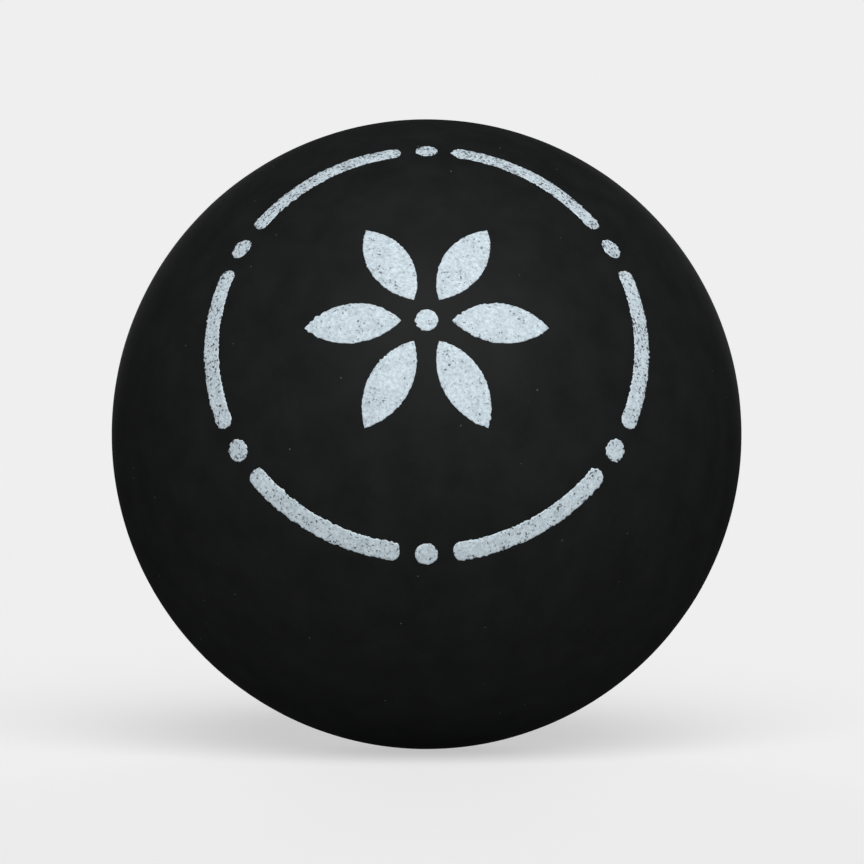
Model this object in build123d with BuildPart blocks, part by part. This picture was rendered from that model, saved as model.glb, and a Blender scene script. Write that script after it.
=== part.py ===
from build123d import *
from math import asin, cos, degrees, radians, sin, sqrt
import os

# Squash ball, in millimetres. The origin is the ball's centre and +Z is up.
# Two rubber half-shells are bonded at the plane y = 0, so +Y is the axis of the seam.
# The white print faces -Y and is tilted up. The speed dots are on the far side.

# Rubber body
ball_diameter = 40.0
wall = 5.2

# Bonded seam: a film between the flat rims, and a bead pressed out of it into the air chamber
glue_line = 0.12
rim_bevel = 0.5
bead_bulge = 0.25
seam_recess = 0.04

# White print: a rosette of petals round a dot, inside a broken ring of arcs and dots
ink_thickness = 0.04
print_tilt = 19.5
print_count = 6
rosette_radius = 7.2
petal_width = 2.5
heart_gap = 0.8
ring_gap = 5.2
arc_width = 0.9
dot_diameter = 1.35
dot_gap = 0.9

# Speed dots: the pair of coloured dots that gives the ball's grade
speed_dot_diameter = 3.2
speed_dot_gap = 1.6

# Sizes that follow
ball_radius = ball_diameter / 2
chamber_radius = ball_radius - wall
rim_height = glue_line / 2
bevel_height = rim_height + rim_bevel
bevel_inner_radius = sqrt(chamber_radius**2 - bevel_height**2)
bevel_outer_radius = bevel_inner_radius + rim_bevel
rim_angle = degrees(asin(rim_height / ball_radius))
bevel_angle = degrees(asin(bevel_height / chamber_radius))

petal_start = dot_diameter / 2 + heart_gap
petal_middle = (petal_start + rosette_radius) / 2
ring_radius = rosette_radius + ring_gap + arc_width / 2
print_step = 360 / print_count
arc_reach = print_step / 2 - degrees((dot_diameter / 2 + dot_gap + arc_width / 2) / ring_radius)
ring_lean = degrees(asin(ring_radius / ball_radius))
ring_dot_turns = [print_step * (number + 0.5) for number in range(print_count)]

# The print lands square to its own axis, which leans up from -Y
print_axis = Vector(0, -cos(radians(print_tilt)), sin(radians(print_tilt)))
print_plane = Plane(origin=(0, 0, 0), x_dir=(1, 0, 0), z_dir=print_axis)
speed_plane = Plane(origin=(0, 0, 0), x_dir=(-1, 0, 0), z_dir=-print_axis)

# The ring's dots are drawn square to the surface where each lands, so that they print round
ring_dot_planes = [
    Plane(print_plane.location * Rotation(0, 0, turn) * Rotation(0, ring_lean, 0)).offset(chamber_radius)
    for turn in ring_dot_turns
]


def lay_ink_on_ball():
    """Carry the flat marks of the open block onto the ball, as a film that follows its surface."""
    extrude(amount=ball_diameter)
    Sphere(ball_radius + ink_thickness, mode=Mode.INTERSECT)
    Sphere(ball_radius, mode=Mode.SUBTRACT)


# Rear half-shell: a thick bowl with a flat rim, bevelled inside
with BuildPart() as rear_half_shell:
    with BuildSketch(Plane.XY):
        with BuildLine():
            outer_wall = CenterArc((0, 0), ball_radius, rim_angle, 90 - rim_angle)
            inner_wall = CenterArc((0, 0), chamber_radius, 90, bevel_angle - 90)
            Line(outer_wall @ 1, inner_wall @ 0)
            Polyline(inner_wall @ 1, (bevel_outer_radius, rim_height), outer_wall @ 0)
        make_face()
    revolve(axis=Axis.Y)

# Front half-shell: the same moulding, turned to face it
with BuildPart() as front_half_shell:
    mirror(rear_half_shell.part, about=Plane.XZ)

# Cured adhesive: it fills the gap between the rims and the groove that their bevels leave
with BuildPart() as seam_adhesive:
    with BuildSketch(Plane.XY):
        with BuildLine():
            Polyline(
                (ball_radius - seam_recess, 0),
                (ball_radius - seam_recess, rim_height),
                (bevel_outer_radius, rim_height),
                (bevel_inner_radius, bevel_height),
            )
            mirror(about=Plane.XZ)
            ThreePointArc(
                (bevel_inner_radius, bevel_height),
                (bevel_inner_radius - bead_bulge, 0),
                (bevel_inner_radius, -bevel_height),
            )
        make_face()
    revolve(axis=Axis.Y)

# One petal of the rosette, drawn along the sketch's X axis
with BuildSketch() as petal:
    with BuildLine():
        ThreePointArc((petal_start, 0), (petal_middle, petal_width / 2), (rosette_radius, 0))
        mirror(about=Plane.XZ)
    make_face()

# One arc of the broken ring, with round ends, drawn across the sketch's X axis
with BuildSketch() as ring_arc:
    centre_line = CenterArc((0, 0), ring_radius, -arc_reach, 2 * arc_reach, mode=Mode.PRIVATE)
    SlotArc(centre_line, arc_width)

# White print
with BuildPart() as print_petals:
    with BuildSketch(print_plane):
        with PolarLocations(0, print_count):
            add(petal.sketch)
    lay_ink_on_ball()

with BuildPart() as print_arcs:
    with BuildSketch(print_plane):
        with PolarLocations(0, print_count):
            add(ring_arc.sketch)
    lay_ink_on_ball()

with BuildPart() as print_dots:
    with BuildSketch(print_plane, *ring_dot_planes):
        Circle(dot_diameter / 2)
    lay_ink_on_ball()

# Speed dots
with BuildPart() as speed_dots:
    with BuildSketch(speed_plane):
        with GridLocations(speed_dot_diameter + speed_dot_gap, 0, 2, 1):
            Circle(speed_dot_diameter / 2)
    lay_ink_on_ball()

rear_half_shell.part.label = "rear_half_shell"
front_half_shell.part.label = "front_half_shell"
seam_adhesive.part.label = "seam_adhesive"
print_petals.part.label = "print_petals"
print_arcs.part.label = "print_arcs"
print_dots.part.label = "print_dots"
speed_dots.part.label = "speed_dots"

os.makedirs("parts", exist_ok=True)
export_step(rear_half_shell.part, "parts/rear_half_shell.step")
export_step(front_half_shell.part, "parts/front_half_shell.step")
export_step(seam_adhesive.part, "parts/seam_adhesive.step")
export_step(print_petals.part, "parts/print_petals.step")
export_step(print_arcs.part, "parts/print_arcs.step")
export_step(print_dots.part, "parts/print_dots.step")
export_step(speed_dots.part, "parts/speed_dots.step")
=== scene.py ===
import math

import bmesh
import bpy
import numpy as np
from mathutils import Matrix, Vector, noise


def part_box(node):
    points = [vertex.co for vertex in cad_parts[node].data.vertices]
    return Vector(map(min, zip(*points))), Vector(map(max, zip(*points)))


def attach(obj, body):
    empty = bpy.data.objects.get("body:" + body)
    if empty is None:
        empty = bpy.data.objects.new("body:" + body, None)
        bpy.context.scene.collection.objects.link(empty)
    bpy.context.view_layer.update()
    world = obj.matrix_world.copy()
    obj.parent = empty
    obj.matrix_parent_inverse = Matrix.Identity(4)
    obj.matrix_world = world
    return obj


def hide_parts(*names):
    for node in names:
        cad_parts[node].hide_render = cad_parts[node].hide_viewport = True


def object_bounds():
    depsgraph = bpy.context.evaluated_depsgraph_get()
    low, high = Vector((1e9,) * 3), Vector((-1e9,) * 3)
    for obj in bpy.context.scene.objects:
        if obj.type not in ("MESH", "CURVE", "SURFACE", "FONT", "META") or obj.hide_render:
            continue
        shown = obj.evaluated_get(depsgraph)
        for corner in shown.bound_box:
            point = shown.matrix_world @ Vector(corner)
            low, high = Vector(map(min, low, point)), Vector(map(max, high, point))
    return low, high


# Looks of a squash ball, in metres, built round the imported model. The origin is the ball's centre,
# +Z is up, the bonded seam lies in the plane y = 0, and the white print faces -Y, tilted up.
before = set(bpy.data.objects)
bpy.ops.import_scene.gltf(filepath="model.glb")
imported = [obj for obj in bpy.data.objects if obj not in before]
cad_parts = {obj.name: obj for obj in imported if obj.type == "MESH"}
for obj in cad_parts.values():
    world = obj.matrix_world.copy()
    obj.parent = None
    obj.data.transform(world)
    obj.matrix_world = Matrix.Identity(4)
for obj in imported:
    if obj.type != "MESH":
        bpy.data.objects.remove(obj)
cad_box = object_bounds()

MM = 0.001

# Rubber skin: the faint unevenness left by buffing, with finer and lower unevenness on it
relief_height = 0.006 * MM
relief_size = 2.6 * MM
relief_layers = 3
relief_fall = 1.0
relief_ratio = 2.0

# Rims: a worn edge at the seam. The even quads of the skin stop at the band's distance from the seam's
# plane, and rings that close up lead on to the edge.
rim_edge_round = 0.05 * MM
skin_band = 0.9 * MM

# Cured adhesive: a hollow front in the groove, which wavers round the ball
cement_hollow = 0.015 * MM
cement_waver = 0.012 * MM
cement_waver_size = 1.4 * MM

# Printed ink: a thin film with soft shoulders. A shoulder takes at most a share of the way to the mark's
# spine, and its brow lies part way up. The spine stops before a mark's end, by a share of the half width.
film_height = 0.03 * MM
film_root = 0.02 * MM
shoulder = 0.07 * MM
shoulder_limit = 0.4
brow_share = 1 / 3
brow_rise = 0.75
spine_stop = 0.9

# Strays of the ink's edge, with finer ones on them. How ragged the edge is changes from stretch to stretch,
# and strays are smaller where the mark leaves them less room.
edge_stray = 0.075 * MM
stray_size = 0.17 * MM
stray_room = 3 * edge_stray
fine_stray = 0.55
fine_stray_ratio = 1.8
ragged_size = 1.5 * MM
ragged_mean = 0.75
ragged_swing = 1.2
ragged_least = 0.3

# Meshes: quads along a quarter of the ball, rings on the skin's band and again on the rim's face, points
# round the rim's edge, rings up the air chamber, points over the adhesive's front and over its bead, the
# step along an ink edge, rings from an ink shoulder to the spine, sides of the floor, and the turn in
# degrees from which an edge stays sharp
skin_steps = 96
rim_rings = 5
rim_edge_points = 3
chamber_rings = 24
front_points = 5
bead_points = 9
edge_step = 0.04 * MM
film_rings = 3
floor_sides = 96
sharp_turn = 50

# Rubber finish: clouds of tone with fine grain on them, and specks of dust. The ball is divided into cells,
# and the odds say how many of them hold a speck.
cloud_size = 2.2 * MM
cloud_share = 0.75
grain_size = 0.16 * MM
grain_depth = 0.012 * MM
rubber_tones = (0.36, 0.64)
rubber_roughness = (0.46, 0.54)
dust_cell = 0.5 * MM
dust_odds = 0.045
speck_core = 0.035 * MM
speck_rim = 0.055 * MM

# Sheen of the rubber and the adhesive: the share of light that it mirrors to the front, and its index
sheen_share = 0.0044
sheen_index = 1.002

# Adhesive finish: blotches
blotch_size = 0.5 * MM
blotch_depth = 0.02 * MM
blotch_tones = (0.35, 0.65)
cement_roughness = (0.5, 0.62)

# Ink finish: chalky tone, and pinholes that gather in patches. The ink is painted lighter at the lower of
# the two
# heights and darker at the higher one: painted light that evens out the lamp's fall-off over the print. The
# ink holds better at the longer of the two reaches along the pad's direction. Heights and reaches are shares
# of the ball's radius.
chalk_size = 0.20 * MM
pinhole_size = 0.16 * MM
patch_size = 0.8 * MM
patch_share = 0.25
painted_light_heights = (-0.35, 0.95)
painted_light_lift = (0.07, -0.015)
press_reaches = (0.7, 0.925)
press_holds = (-0.06, 0.025)
press_elevation = 12
ink_tones = (0.41, 0.89)
pinhole_levels = (0.45, 0.52)
ink_depth = 0.015 * MM
ink_roughness = (0.62, 0.72)
ink_gloss = 0.2

# The span that most of a noise's values fall in
noise_span = (0.3, 0.7)

# The photograph's frame, in pixels, and the lens that looks level at the ball
photo_size = 864
ball_centre_x = 426.6
ball_centre_y = 434.2
ball_radius_px = 315.0
lens_mm = 150.0
sensor_mm = 36.0

# Light: a broad lamp in front and above, two weaker ones behind, and a faint even light from all round.
# Each lamp has its azimuth from the front, its elevation and its spread in degrees, and its strength.
lamps = {
    "front_lamp": {"azimuth": 5.5, "elevation": 40, "spread": 54, "strength": 3.1},
    "rear_left_lamp": {"azimuth": -164, "elevation": 10, "spread": 20, "strength": 1.15},
    "rear_right_lamp": {"azimuth": 164, "elevation": 10, "spread": 20, "strength": 1.15},
}
ambient_level = 0.05
background_level = 0.863
floor_albedo = 0.42
floor_reach = 3.0


def node_points(node):
    """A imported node's vertices, one row each."""
    return np.array([vertex.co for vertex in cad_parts[node].data.vertices])


# Sizes of the body and the seam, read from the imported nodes
shell_reach = np.linalg.norm(node_points("front_half_shell"), axis=1)
ball_radius = float(shell_reach.max())
chamber_radius = float(shell_reach.min())
rim_height = -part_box("front_half_shell")[1].y
bevel_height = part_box("seam_adhesive")[1].y
seam_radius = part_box("seam_adhesive")[1].x
bead_radius = float(np.linalg.norm(node_points("seam_adhesive"), axis=1).min())
bevel_inner_radius = math.sqrt(chamber_radius**2 - bevel_height**2)
bevel_outer_radius = bevel_inner_radius + bevel_height - rim_height


def relief(point):
    """Height of the skin's unevenness at a point of the ball."""
    spot = Vector(point) / relief_size
    return relief_height * noise.fractal(spot, relief_fall, relief_ratio, relief_layers)


def on_skin(direction, height=0.0):
    """The point at a height over the rubber skin, in a direction from the ball's centre."""
    point = np.asarray(direction) * ball_radius
    return point * (1 + (relief(point) + height) / ball_radius)


def add_piece(name, vertices, faces, node, material):
    """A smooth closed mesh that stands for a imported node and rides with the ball."""
    mesh = bpy.data.meshes.new(name)
    mesh.from_pydata([tuple(vertex) for vertex in vertices], [], faces)
    mesh.materials.append(material)
    shaper = bmesh.new()
    shaper.from_mesh(mesh)
    bmesh.ops.recalc_face_normals(shaper, faces=shaper.faces)
    shaper.to_mesh(mesh)
    shaper.free()
    mesh.shade_smooth()
    mesh.set_sharp_from_angle(angle=math.radians(sharp_turn))
    piece = bpy.data.objects.new(name, mesh)
    bpy.context.scene.collection.objects.link(piece)
    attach(piece, "root")
    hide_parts(node)


def join_rings(first, second):
    """Quads between two closed rings of vertex numbers."""
    count = len(first)
    return [(first[i], first[(i + 1) % count], second[(i + 1) % count], second[i]) for i in range(count)]


# Half-shells


def skin_patch():
    """Directions over a half ball round +Z, evenly spread: a square patch on the pole, then rings.

    Returns the directions, the quads, and the vertex numbers of the last ring."""
    spread = np.tan(np.linspace(-math.pi / 4, math.pi / 4, skin_steps + 1))
    directions = [(s, t, 1.0) for s in spread for t in spread]
    row = skin_steps + 1
    quads = []
    for i in range(skin_steps):
        for j in range(skin_steps):
            corner = i * row + j
            quads.append((corner, corner + row, corner + row + 1, corner + 1))
    sides = range(skin_steps)
    ring = [i * row for i in sides]
    ring += [skin_steps * row + j for j in sides]
    ring += [(skin_steps - i) * row + skin_steps for i in sides]
    ring += [skin_steps - j for j in sides]
    border = [directions[number] for number in ring]
    for drop in spread[::-1][1 : skin_steps // 2 + 1]:
        start = len(directions)
        directions += [(s, t, drop) for s, t, _ in border]
        next_ring = list(range(start, start + len(border)))
        quads += join_rings(ring, next_ring)
        ring = next_ring
    directions = np.array(directions)
    return directions / np.linalg.norm(directions, axis=1)[:, None], quads, ring


def rim_profile():
    """Radius and height of the rings that follow the skin: over the rim, then up the chamber's wall."""
    edge_height = rim_height + rim_edge_round
    heights = np.geomspace(skin_band, edge_height, rim_rings + 1)[1:]
    rings = [(math.sqrt(ball_radius**2 - height**2), height) for height in heights]
    edge_radius = rings[-1][0] - rim_edge_round
    for turn in np.linspace(0, math.pi / 2, rim_edge_points + 1)[1:]:
        round_radius = edge_radius + rim_edge_round * math.cos(turn)
        rings.append((round_radius, edge_height - rim_edge_round * math.sin(turn)))
    for radius in np.linspace(edge_radius, bevel_outer_radius, rim_rings + 1)[1:]:
        rings.append((radius, rim_height))
    first_turn = math.asin(bevel_height / chamber_radius)
    for turn in np.linspace(first_turn, math.pi / 2, chamber_rings + 1)[:-1]:
        rings.append((chamber_radius * math.cos(turn), chamber_radius * math.sin(turn)))
    return rings


def half_shell(name, node, side, material):
    """One moulded bowl of the ball. Its pole lies along Y, on the given side."""
    directions, faces, ring = skin_patch()

    # The half ball is drawn in towards its pole, so that it ends at the skin's band
    squeeze = 1 - math.asin(skin_band / ball_radius) / (math.pi / 2)
    tilts = np.arccos(directions[:, 2]) * squeeze
    turns = np.arctan2(directions[:, 1], directions[:, 0])
    across = np.sin(tilts)
    skin = np.column_stack([across * np.cos(turns), side * np.cos(tilts), across * np.sin(turns)])
    vertices = [on_skin(direction) for direction in skin]

    # The rings of the rim and the chamber follow, and those on the skin share its unevenness
    ring_turns = turns[ring]
    for radius, height in rim_profile():
        start = len(vertices)
        outer = math.hypot(radius, height) > ball_radius - rim_edge_round
        for turn in ring_turns:
            point = np.array([radius * math.cos(turn), side * height, radius * math.sin(turn)])
            vertices.append(point * (1 + relief(point) / ball_radius) if outer else point)
        next_ring = list(range(start, len(vertices)))
        faces += join_rings(ring, next_ring)
        ring = next_ring
    vertices.append((0, side * chamber_radius, 0))
    pole = len(vertices) - 1
    faces += [(ring[i - 1], ring[i], pole) for i in range(len(ring))]
    add_piece(name, vertices, faces, node, material)


# Adhesive


def cement_profile():
    """Radius and height round the adhesive's section: its hollow front, then its film and its inner bead."""
    profile = []
    for share in np.linspace(-1, 1, front_points):
        profile.append((seam_radius - cement_hollow * (1 - share**2), share * rim_height))
    profile.append((bevel_outer_radius, rim_height))
    for share in np.linspace(1, -1, bead_points):
        swell = (bevel_inner_radius - bead_radius) * (1 - share**2)
        profile.append((bevel_inner_radius - swell, share * bevel_height))
    profile.append((bevel_outer_radius, -rim_height))
    return profile


def cement_ring(name, node, material):
    """The cured adhesive between the rims, all round the ball. Its front wavers."""
    profile = cement_profile()
    vertices = []
    faces = []
    sections = []
    count = 4 * skin_steps
    for turn in np.arange(count) * 2 * math.pi / count:
        ray = np.array([math.cos(turn), 0, math.sin(turn)])
        waver = cement_waver * noise.noise(Vector(ray * seam_radius) / cement_waver_size)
        start = len(vertices)
        for number, (radius, height) in enumerate(profile):
            reach = radius + waver if number < front_points else radius
            vertices.append(ray * reach + np.array([0, height, 0]))
        sections.append(list(range(start, len(vertices))))
    for i in range(count):
        faces += join_rings(sections[i - 1], sections[i])
    add_piece(name, vertices, faces, node, material)


# Printed ink


def mark_outlines(node):
    """The outline of each printed mark of a node, as points in order round its outer face.

    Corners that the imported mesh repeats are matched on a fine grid. An edge of the outer face that no
    second triangle shares lies on the outline."""
    points = node_points(node)
    distances = np.linalg.norm(points, axis=1)
    outer = distances > (ball_radius + distances.max()) / 2
    snap = 1e-7
    corners = [tuple(corner) for corner in np.round(points / snap).astype(int)]
    edges = {}
    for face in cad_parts[node].data.polygons:
        if all(outer[number] for number in face.vertices):
            loop = [corners[number] for number in face.vertices]
            edges.update(((start, end), None) for start, end in zip(loop, loop[1:] + loop[:1]))
    following = {start: end for start, end in edges if (end, start) not in edges}
    outlines = []
    while following:
        start, point = following.popitem()
        loop = [start]
        while point != start:
            loop.append(point)
            point = following.pop(point)
        outlines.append(np.array(loop) * snap)
    return outlines


def resample(points, shares):
    """Points at the given shares of a line's length, on a smooth curve through the line's corners."""
    steps = np.linalg.norm(np.diff(points, axis=0), axis=1)
    reach = np.concatenate([[0], np.cumsum(steps)])
    pulls = np.gradient(points, reach, axis=0)
    places = shares * reach[-1]
    spans = np.clip(np.searchsorted(reach, places) - 1, 0, len(steps) - 1)
    length = steps[spans][:, None]
    share = (places[:, None] - reach[spans][:, None]) / length
    rest = 1 - share
    start = points[spans] * (1 + 2 * share) + pulls[spans] * length * share
    end = points[spans + 1] * (1 + 2 * rest) - pulls[spans + 1] * length * rest
    return start * rest**2 + end * share**2


def edge_and_spine(outline):
    """A mark's edge as an even ring of points, and the points of its spine.

    Also returns, for each point of the edge, the number of the spine's point that it looks to."""
    gaps = np.linalg.norm(outline[:, None] - outline[None, :], axis=2)
    first, last = sorted(np.unravel_index(gaps.argmax(), gaps.shape))
    turned = np.roll(outline, -first, axis=0)
    sides = turned[: last - first + 1], np.vstack([turned[last - first:], turned[:1]])[::-1]
    length = max(np.linalg.norm(np.diff(side, axis=0), axis=1).sum() for side in sides)
    shares = np.linspace(0, 1, int(length / edge_step))
    one, other = resample(sides[0], shares), resample(sides[1], shares)
    edge = np.vstack([one, other[-2:0:-1]])

    # The spine runs midway between the sides, and stops where a round end or a tip begins
    middle = (one + other) / 2
    half_widths = np.linalg.norm(one - other, axis=1) / 2
    from_ends = [np.linalg.norm(middle - middle[end], axis=1) for end in (0, -1)]
    inside = np.nonzero(np.minimum(*from_ends) > np.maximum(spine_stop * half_widths, shoulder))[0]
    rows = np.concatenate([np.arange(len(one)), np.arange(len(one) - 2, 0, -1)])
    feet = np.clip(rows, inside[0], inside[-1]) - inside[0]
    return edge, middle[inside[0]: inside[-1] + 1], feet


def strayed(edge, inner, place):
    """An edge with the small strays of ink on rubber, crisp in some stretches and ragged in others.

    Inner are the points that the edge looks to, and the place sets the mark's run of noise."""
    ahead = np.roll(edge, -1, axis=0) - np.roll(edge, 1, axis=0)
    outward = np.column_stack([ahead[:, 1], -ahead[:, 0]]) / np.linalg.norm(ahead, axis=1)[:, None]
    depths = np.sum(outward * (edge - inner), axis=1)
    outward *= np.sign(depths)[:, None]
    strays = []
    for (u, v), depth in zip(edge, np.abs(depths)):
        spot = Vector((u, v, place * ragged_size))
        ragged = max(ragged_least, ragged_mean + ragged_swing * noise.noise(spot / ragged_size))
        coarse = noise.noise(spot / stray_size)
        fine = noise.noise(spot / stray_size * fine_stray_ratio)
        wander = coarse + fine_stray * fine
        strays.append(edge_stray * ragged * wander * min(1, depth / stray_room))
    eased = (np.roll(strays, 1) + 2 * np.array(strays) + np.roll(strays, -1)) / 4
    return edge + outward * eased[:, None]


def ink_mark(outline, across, up, out, place):
    """Vertices and faces of one mark: a closed film from its root in the rubber to its soft top."""
    flat = np.column_stack([outline @ across, outline @ up])
    edge, spine, feet = edge_and_spine(flat)
    edge = strayed(edge, spine[feet], place)
    inward = spine[feet] - edge
    slopes = np.minimum(shoulder / np.linalg.norm(inward, axis=1), shoulder_limit)

    # Each layer of the film is a ring: how far it lies on the way to the spine, and its height
    layers = [(0 * slopes, -film_root), (0 * slopes, 0), (slopes * brow_share, film_height * brow_rise)]
    layers += [(slopes + (1 - slopes) * step / film_rings, film_height) for step in range(film_rings)]
    vertices = []

    def lay(points, height):
        """Carries flat points onto the ball at a height over the skin, and returns their numbers."""
        start = len(vertices)
        for u, v in points:
            lift = math.sqrt(ball_radius**2 - u * u - v * v)
            vertices.append(on_skin((u * across + v * up + lift * out) / ball_radius, height))
        return list(range(start, len(vertices)))

    rings = [lay(edge + inward * shares[:, None], height) for shares, height in layers]
    top, bottom = lay(spine, film_height), lay(spine, -film_root)
    faces = []
    for lower, upper in zip(rings, rings[1:]):
        faces += join_rings(lower, upper)

    # The last ring closes on the spine, where quads with a shared foot become triangles
    for ring, ridge in ((rings[-1], top), (rings[0], bottom)):
        for face in join_rings(ring, [ridge[foot] for foot in feet]):
            faces.append(tuple(dict.fromkeys(face)))
    return vertices, faces


def ink_piece(name, node, material, out):
    """All marks of a node as one printed piece. Out is the direction that the print faces."""
    across = np.array([1.0, 0.0, 0.0])
    up = np.cross(out, across)
    vertices = []
    faces = []
    for place, outline in enumerate(mark_outlines(node)):
        mark_vertices, mark_faces = ink_mark(outline, across, up, out, place)
        faces += [tuple(number + len(vertices) for number in face) for face in mark_faces]
        vertices += mark_vertices
    add_piece(name, vertices, faces, node, material)


def facing(node):
    """The direction in which a node's marks face, taken over all of them."""
    middle = node_points(node).mean(axis=0)
    return middle / np.linalg.norm(middle)


# Shader nodes


def add_node(tree, kind, inputs, **settings):
    """A shader node with its settings, each input set to a value or linked from a socket."""
    node = tree.nodes.new(kind)
    for name, value in settings.items():
        setattr(node, name, value)
    for name, value in inputs.items():
        if isinstance(value, bpy.types.NodeSocket):
            tree.links.new(value, node.inputs[name])
        else:
            node.inputs[name].default_value = value
    return node


def place_on_ball(tree):
    """The place of the shaded point, from the ball's centre."""
    return add_node(tree, "ShaderNodeTexCoord", {}).outputs["Object"]


def noise_map(tree, size, detail=2.0, roughness=0.5):
    """Even noise from 0 to 1 over the ball, with blotches of the given size."""
    inputs = {"Vector": place_on_ball(tree), "Scale": 1 / size, "Detail": detail, "Roughness": roughness}
    return add_node(tree, "ShaderNodeTexNoise", inputs).outputs["Fac"]


def spread_to(tree, value, span, new_span=(0, 1)):
    """A value stretched from one span to another, and held inside it."""
    inputs = {
        "Value": value,
        "From Min": span[0],
        "From Max": span[1],
        "To Min": new_span[0],
        "To Max": new_span[1],
    }
    return add_node(tree, "ShaderNodeMapRange", inputs).outputs["Result"]


def mix_colours(tree, share, first, second):
    """A colour between two others. The node's colour sockets go by number, as others share their names."""
    inputs = {0: share, 6: first, 7: second}
    return add_node(tree, "ShaderNodeMix", inputs, data_type="RGBA").outputs[2]


def combine(tree, operation, first, second):
    """Two values through one arithmetic operation."""
    return add_node(tree, "ShaderNodeMath", {0: first, 1: second}, operation=operation).outputs["Value"]


def new_material(name):
    """An empty surface: the material, its node tree and its shader."""
    material = bpy.data.materials.new(name)
    material.use_nodes = True
    return material, material.node_tree, material.node_tree.nodes["Principled BSDF"]


def set_bump(tree, shader, height, depth, strength):
    """Fine relief in the surface, of the given depth."""
    bump = add_node(tree, "ShaderNodeBump", {"Height": height, "Distance": depth, "Strength": strength})
    tree.links.new(bump.outputs["Normal"], shader.inputs["Normal"])


def set_matte_sheen(shader):
    """A faint sheen that mirrors its share of light to the front, and hardly more at the limb.

    The low index keeps the limb dark, and a strong tint then brings the front up to its share."""
    tint = sheen_share / ((sheen_index - 1) / (sheen_index + 1)) ** 2
    shader.inputs["IOR"].default_value = sheen_index
    shader.inputs["Specular Tint"].default_value = (tint, tint, tint, 1)


# Materials


def dust_specks(tree):
    """1 on the specks of dust and 0 between them. A few of the ball's cells hold one each."""
    inputs = {"Vector": place_on_ball(tree), "Scale": 1 / dust_cell}
    cells = add_node(tree, "ShaderNodeTexVoronoi", inputs).outputs
    lot = add_node(tree, "ShaderNodeSeparateColor", {"Color": cells["Color"]}).outputs["Red"]
    dusty = combine(tree, "GREATER_THAN", lot, 1 - dust_odds)
    near = spread_to(tree, cells["Distance"], (speck_core / dust_cell, speck_rim / dust_cell), (1, 0))
    return combine(tree, "MULTIPLY", near, dusty)


def rubber_material():
    """Matte black rubber: cloudy tone, fine buffed grain and a few specks of dust."""
    material, tree, shader = new_material("matte_rubber")
    cloud = noise_map(tree, cloud_size, detail=4.0, roughness=0.55)
    grain = noise_map(tree, grain_size, detail=3.0, roughness=0.6)
    cloud_part = combine(tree, "MULTIPLY", cloud, cloud_share)
    grain_part = combine(tree, "MULTIPLY", grain, 1 - cloud_share)
    tone = combine(tree, "ADD", cloud_part, grain_part)
    dark = (0.0070, 0.0074, 0.0076, 1)
    light = (0.0112, 0.0118, 0.0121, 1)
    dust = (0.10, 0.105, 0.11, 1)
    clean = mix_colours(tree, spread_to(tree, tone, rubber_tones), dark, light)
    colour = mix_colours(tree, dust_specks(tree), clean, dust)
    tree.links.new(colour, shader.inputs["Base Color"])
    tree.links.new(spread_to(tree, tone, noise_span, rubber_roughness), shader.inputs["Roughness"])
    set_matte_sheen(shader)
    set_bump(tree, shader, grain, grain_depth, strength=0.25)
    return material


def ink_material(name, thin, full, bare, pressed):
    """Pad-printed ink: a chalky tone between thin and full, with pinholes where the rubber shows bare.

    The ink is painted lighter towards the bottom and darker towards the top, as painted light. Pressed is
    the direction in which the pad bore hardest, and there are more pinholes away from it."""
    material, tree, shader = new_material(name)
    place = place_on_ball(tree)
    height = add_node(tree, "ShaderNodeSeparateXYZ", {"Vector": place}).outputs["Z"]
    # Painted light: the ink is painted lighter low on the ball and darker high on it, against the lamp's
    # fall-off
    heights = [share * ball_radius for share in painted_light_heights]
    painted_lift = spread_to(tree, height, heights, painted_light_lift)
    reach = add_node(tree, "ShaderNodeVectorMath", {0: place, 1: pressed}, operation="DOT_PRODUCT")
    reaches = [share * ball_radius for share in press_reaches]
    hold = spread_to(tree, reach.outputs["Value"], reaches, press_holds)

    chalk = noise_map(tree, chalk_size, detail=4.0, roughness=0.75)
    fine = noise_map(tree, pinhole_size, detail=2.0, roughness=0.6)
    patch = combine(tree, "MULTIPLY", noise_map(tree, patch_size), patch_share)
    film = combine(tree, "ADD", combine(tree, "ADD", chalk, patch), painted_lift)
    level = combine(tree, "ADD", combine(tree, "ADD", fine, patch), hold)
    coat = mix_colours(tree, spread_to(tree, film, ink_tones), thin, full)
    hole = spread_to(tree, level, pinhole_levels, (1, 0))
    tree.links.new(mix_colours(tree, hole, coat, bare), shader.inputs["Base Color"])
    tree.links.new(spread_to(tree, chalk, noise_span, ink_roughness), shader.inputs["Roughness"])
    shader.inputs["Specular IOR Level"].default_value = ink_gloss
    set_bump(tree, shader, level, ink_depth, strength=0.4)
    return material


def cement_material():
    """Cured rubber cement: dark, slightly brown, in blotches."""
    material, tree, shader = new_material("cured_cement")
    blotch = noise_map(tree, blotch_size, detail=3.0, roughness=0.6)
    dark = (0.0055, 0.0052, 0.0048, 1)
    light = (0.0125, 0.0118, 0.0108, 1)
    colour = mix_colours(tree, spread_to(tree, blotch, blotch_tones), dark, light)
    tree.links.new(colour, shader.inputs["Base Color"])
    tree.links.new(spread_to(tree, blotch, noise_span, cement_roughness), shader.inputs["Roughness"])
    set_matte_sheen(shader)
    set_bump(tree, shader, blotch, blotch_depth, strength=0.3)
    return material


# Stage


def seen_directly(tree):
    """1 for rays of the camera, of gloss and of glass, and 0 for the light that falls on a surface."""
    path = add_node(tree, "ShaderNodeLightPath", {}).outputs
    mirrored = combine(tree, "MAXIMUM", path["Is Glossy Ray"], path["Is Transmission Ray"])
    return combine(tree, "MAXIMUM", path["Is Camera Ray"], mirrored)


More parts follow.
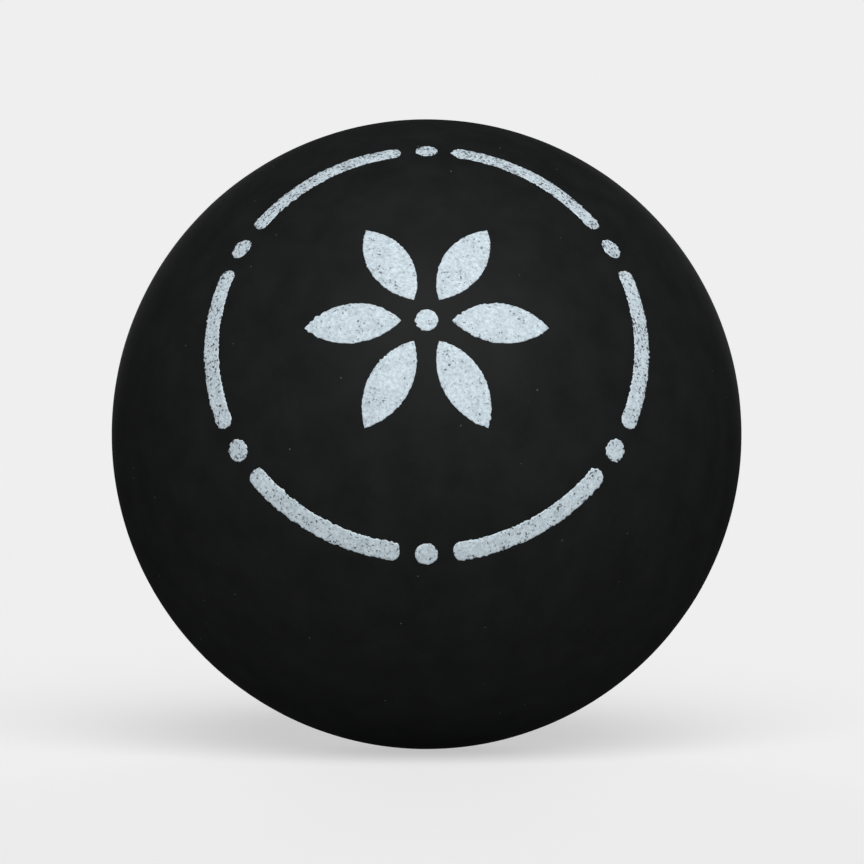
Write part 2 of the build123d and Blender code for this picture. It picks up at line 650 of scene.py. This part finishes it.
def make_world():
    """A pale even background, and a weak even light."""
    world = bpy.data.worlds.new("studio")
    world.use_nodes = True
    tree = world.node_tree
    shader = tree.nodes["Background"]
    shader.inputs["Color"].default_value = (1, 1, 1, 1)
    level = spread_to(tree, seen_directly(tree), (0, 1), (ambient_level, background_level))
    tree.links.new(level, shader.inputs["Strength"])
    bpy.context.scene.world = world


def make_floor():
    """A pale floor under the ball, as light as the background where no shadow falls."""
    foot = (0, 0, cad_box[0].z)
    bpy.ops.mesh.primitive_circle_add(
        vertices=floor_sides,
        radius=floor_reach,
        fill_type="NGON",
        location=foot,
    )
    floor = bpy.context.object
    floor.name = "studio_floor"
    material, tree, shader = new_material("pale_floor")
    lamplight = 0.0
    for lamp in lamps.values():
        lamplight += lamp["strength"] * math.sin(math.radians(lamp["elevation"]))
    glow = background_level - floor_albedo * (lamplight / math.pi + ambient_level)
    shown_glow = spread_to(tree, seen_directly(tree), (0, 1), (0, glow))
    shader.inputs["Base Color"].default_value = (floor_albedo, floor_albedo, floor_albedo, 1)
    shader.inputs["Roughness"].default_value = 1.0
    shader.inputs["Specular IOR Level"].default_value = 0.0
    shader.inputs["Emission Color"].default_value = (1, 1, 1, 1)
    tree.links.new(shown_glow, shader.inputs["Emission Strength"])
    floor.data.materials.append(material)


def toward(azimuth, elevation):
    """The direction from the ball to something at an azimuth from the front and an elevation."""
    turn, rise = math.radians(azimuth), math.radians(elevation)
    return Vector((math.sin(turn) * math.cos(rise), -math.cos(turn) * math.cos(rise), math.sin(rise)))


def add_lamp(name, azimuth, elevation, strength, spread):
    """A broad soft lamp, far off."""
    data = bpy.data.lights.new(name, "SUN")
    data.energy = strength
    data.angle = math.radians(spread)
    lamp = bpy.data.objects.new(name, data)
    lamp.rotation_mode = "QUATERNION"
    lamp.rotation_quaternion = (-toward(azimuth, elevation)).to_track_quat("-Z", "Y")
    bpy.context.scene.collection.objects.link(lamp)


def make_camera():
    """A level view of the printed front, framed as the photograph."""
    data = bpy.data.cameras.new("camera")
    data.lens = lens_mm
    data.sensor_width = sensor_mm
    data.shift_x = (photo_size / 2 - ball_centre_x) / photo_size
    data.shift_y = (ball_centre_y - photo_size / 2) / photo_size
    slope = ball_radius_px / photo_size * sensor_mm / lens_mm
    camera = bpy.data.objects.new("camera", data)
    camera.location = toward(0, 0) * (ball_radius / math.sin(math.atan(slope)))
    camera.rotation_euler = (math.pi / 2, 0, 0)
    data.clip_start = ball_radius
    bpy.context.scene.collection.objects.link(camera)
    bpy.context.scene.camera = camera


# The ball and its stage

print_facing = facing("print_petals")
speed_dots_facing = facing("speed_dots")

rubber = rubber_material()
cement = cement_material()
white_ink = ink_material(
    "white_print",
    thin=(0.36, 0.425, 0.47, 1),
    full=(0.76, 0.875, 0.94, 1),
    bare=(0.06, 0.07, 0.08, 1),
    pressed=toward(0, press_elevation),
)
yellow_ink = ink_material(
    "yellow_print",
    thin=(0.66, 0.43, 0.012, 1),
    full=(0.93, 0.71, 0.035, 1),
    bare=(0.12, 0.08, 0.008, 1),
    pressed=speed_dots_facing,
)

half_shell("front_shell_rubber", "front_half_shell", -1, rubber)
half_shell("rear_shell_rubber", "rear_half_shell", 1, rubber)
cement_ring("seam_cement_ring", "seam_adhesive", cement)
ink_piece("white_petals", "print_petals", white_ink, print_facing)
ink_piece("white_arcs", "print_arcs", white_ink, print_facing)
ink_piece("white_dots", "print_dots", white_ink, print_facing)
ink_piece("yellow_speed_dots", "speed_dots", yellow_ink, speed_dots_facing)

make_world()
make_floor()
for lamp_name, lamp_facts in lamps.items():
    add_lamp(lamp_name, **lamp_facts)
make_camera()
bpy.context.scene.view_settings.view_transform = "Standard"
